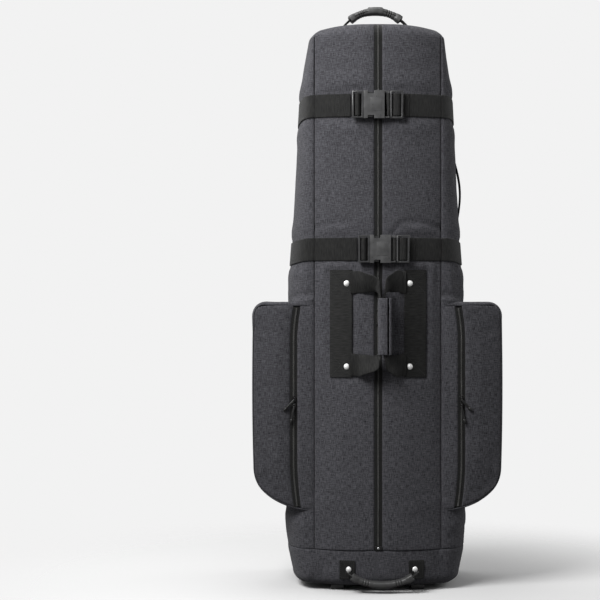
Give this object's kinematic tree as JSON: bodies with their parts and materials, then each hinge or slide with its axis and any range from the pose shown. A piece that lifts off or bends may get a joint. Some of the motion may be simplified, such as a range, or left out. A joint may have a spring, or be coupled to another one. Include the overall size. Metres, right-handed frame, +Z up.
{
  "type": "golf travel case",
  "caption": "Upright wheeled soft golf travel case with two front flaps, zip, straps with buckles, shoe pockets, handles and an inner support rod.",
  "frame": {"origin": "on the floor, under the middle of the case's overall width and depth", "axes": "+Z up, the front with its zip faces -Y, +X is the viewer's right from the front"},
  "size_m": [0.5636, 0.346, 1.3268],
  "materials": {
    "case_fabric": "heathered charcoal polyester",
    "webbing": "black woven nylon webbing",
    "zip": "black woven zip tape with a nylon coil",
    "buckle_plastic": "satin dark grey moulded nylon",
    "black_plastic": "matt black moulded plastic",
    "rubber": "soft black rubber",
    "anodised_tube": "clear anodised aluminium tube",
    "steel": "plated steel pin"
  },
  "bodies": {
    "case": {"side_gusset_left": "case_fabric", "side_gusset_right": "case_fabric", "back_panel": "case_fabric", "top_panel": "case_fabric", "base_boot": "case_fabric", "base_board": "black_plastic", "front_foot_left": "rubber", "front_foot_right": "rubber", "wheel_housing_left": "black_plastic", "wheel_housing_right": "black_plastic", "wheel_axle_left": "steel", "wheel_axle_right": "steel", "kick_plate": "black_plastic", "side_pocket_left": "case_fabric", "side_pocket_right": "case_fabric", "pocket_zip_left": "zip", "pocket_zip_right": "zip", "upper_strap_band": "webbing", "lower_strap_band": "webbing", "side_handle": "webbing", "rod_tube_1": "anodised_tube", "rod_foot": "black_plastic"},
    "left_flap": {"front_flap_left": "case_fabric", "zip_tape_left": "zip", "upper_strap_left": "webbing", "lower_strap_left": "webbing", "carry_patch_left": "webbing"},
    "right_flap": {"front_flap_right": "case_fabric", "zip_tape_right": "zip", "upper_strap_right": "webbing", "lower_strap_right": "webbing", "upper_buckle_socket": "buckle_plastic", "lower_buckle_socket": "buckle_plastic", "carry_patch_right": "webbing"},
    "left_carry_loop": {"carry_loop_left": "webbing"},
    "right_carry_loop": {"carry_loop_right": "webbing", "carry_wrap": "case_fabric"},
    "upper_plug": {"upper_buckle_plug": "buckle_plastic"},
    "lower_plug": {"lower_buckle_plug": "buckle_plastic"},
    "upper_glide": {"upper_tri_glide": "buckle_plastic"},
    "lower_glide": {"lower_tri_glide": "buckle_plastic"},
    "upper_main_slider": {"main_slider_upper": "black_plastic"},
    "lower_main_slider": {"main_slider_lower": "black_plastic"},
    "left_upper_pocket_slider": {"pocket_slider_upper_left": "black_plastic"},
    "left_lower_pocket_slider": {"pocket_slider_lower_left": "black_plastic"},
    "right_upper_pocket_slider": {"pocket_slider_upper_right": "black_plastic"},
    "right_lower_pocket_slider": {"pocket_slider_lower_right": "black_plastic"},
    "left_wheel": {"wheel_left": "rubber"},
    "right_wheel": {"wheel_right": "rubber"},
    "top_handle": {"top_handle_webbing": "webbing", "top_handle_grip": "rubber"},
    "base_handle": {"base_handle_webbing": "webbing", "base_handle_grip": "rubber"},
    "collar_1": {"rod_collar_1": "black_plastic"},
    "tube_2": {"rod_tube_2": "anodised_tube"},
    "collar_2": {"rod_collar_2": "black_plastic"},
    "tube_3": {"rod_tube_3": "anodised_tube"},
    "collar_3": {"rod_collar_3": "black_plastic"},
    "tube_4": {"rod_tube_4": "anodised_tube", "rod_dome": "black_plastic"}
  },
  "joints": [
    {"name": "left_flap_swing", "type": "hinge", "parent": "case", "child": "left_flap", "pos_m": [-0.142, -0.1032, 0], "axis": [0, 0, -1], "range_deg": [0, 135]},
    {"name": "right_flap_swing", "type": "hinge", "parent": "case", "child": "right_flap", "pos_m": [0.142, -0.1032, 0], "axis": [0, 0, 1], "range_deg": [0, 135]},
    {"name": "left_loop_swing", "type": "hinge", "parent": "left_flap", "child": "left_carry_loop", "pos_m": [-0.065, -0.1297, 0], "axis": [0, 0, 1], "range_deg": [-104, 0]},
    {"name": "right_loop_swing", "type": "hinge", "parent": "right_flap", "child": "right_carry_loop", "pos_m": [0.065, -0.1297, 0], "axis": [0, 0, -1], "range_deg": [-104, 0]},
    {"name": "upper_plug_release", "type": "slide", "parent": "left_flap", "child": "upper_plug", "axis": [-1, 0, 0], "range_m": [0, 0.03]},
    {"name": "upper_glide_adjust", "type": "slide", "parent": "right_flap", "child": "upper_glide", "axis": [1, 0, 0], "range_m": [0, 0.06]},
    {"name": "lower_plug_release", "type": "slide", "parent": "left_flap", "child": "lower_plug", "axis": [-1, 0, 0], "range_m": [0, 0.03]},
    {"name": "lower_glide_adjust", "type": "slide", "parent": "right_flap", "child": "lower_glide", "axis": [1, 0, 0], "range_m": [0, 0.06]},
    {"name": "upper_main_slider_travel", "type": "slide", "parent": "right_flap", "child": "upper_main_slider", "axis": [0, 0, 1], "range_m": [0, 0.61]},
    {"name": "lower_main_slider_travel", "type": "slide", "parent": "right_flap", "child": "lower_main_slider", "axis": [0, 0, 1], "range_m": [-0.47, 0]},
    {"name": "left_upper_pocket_slider_travel", "type": "slide", "parent": "case", "child": "left_upper_pocket_slider", "axis": [0, 0, 1], "range_m": [0, 0.175]},
    {"name": "left_lower_pocket_slider_travel", "type": "slide", "parent": "case", "child": "left_lower_pocket_slider", "axis": [0, 0, 1], "range_m": [-0.2, 0]},
    {"name": "right_upper_pocket_slider_travel", "type": "slide", "parent": "case", "child": "right_upper_pocket_slider", "axis": [0, 0, 1], "range_m": [0, 0.175]},
    {"name": "right_lower_pocket_slider_travel", "type": "slide", "parent": "case", "child": "right_lower_pocket_slider", "axis": [0, 0, 1], "range_m": [-0.2, 0]},
    {"name": "left_wheel_roll", "type": "hinge", "parent": "case", "child": "left_wheel", "pos_m": [-0.14, 0.142, 0.031], "axis": [1, 0, 0], "continuous": true},
    {"name": "right_wheel_roll", "type": "hinge", "parent": "case", "child": "right_wheel", "pos_m": [0.14, 0.142, 0.031], "axis": [1, 0, 0], "continuous": true},
    {"name": "top_handle_swing", "type": "hinge", "parent": "case", "child": "top_handle", "pos_m": [0, 0.012, 1.265], "axis": [1, 0, 0], "range_deg": [-60, 60], "stiffness_Nm_per_rad": 0.3, "deforming": ["top_handle_webbing"]},
    {"name": "base_handle_swing", "type": "hinge", "parent": "case", "child": "base_handle", "pos_m": [0.008, -0.142, 0.048], "axis": [1, 0, 0], "range_deg": [-150, 0]},
    {"name": "collar_1_twist", "type": "hinge", "parent": "case", "child": "collar_1", "pos_m": [0, 0.014, 0], "axis": [0, 0, 1], "range_deg": [0, 90]},
    {"name": "collar_2_twist", "type": "hinge", "parent": "tube_2", "child": "collar_2", "pos_m": [0, 0.014, 0], "axis": [0, 0, 1], "range_deg": [0, 90]},
    {"name": "collar_3_twist", "type": "hinge", "parent": "tube_3", "child": "collar_3", "pos_m": [0, 0.014, 0], "axis": [0, 0, 1], "range_deg": [0, 90]},
    {"name": "tube_2_slide", "type": "slide", "parent": "case", "child": "tube_2", "axis": [0, 0, 1], "range_m": [-0.216, 0]},
    {"name": "tube_3_slide", "type": "slide", "parent": "tube_2", "child": "tube_3", "axis": [0, 0, 1], "range_m": [-0.242, 0]},
    {"name": "tube_4_slide", "type": "slide", "parent": "tube_3", "child": "tube_4", "axis": [0, 0, 1], "range_m": [-0.276, 0]}
  ]
}
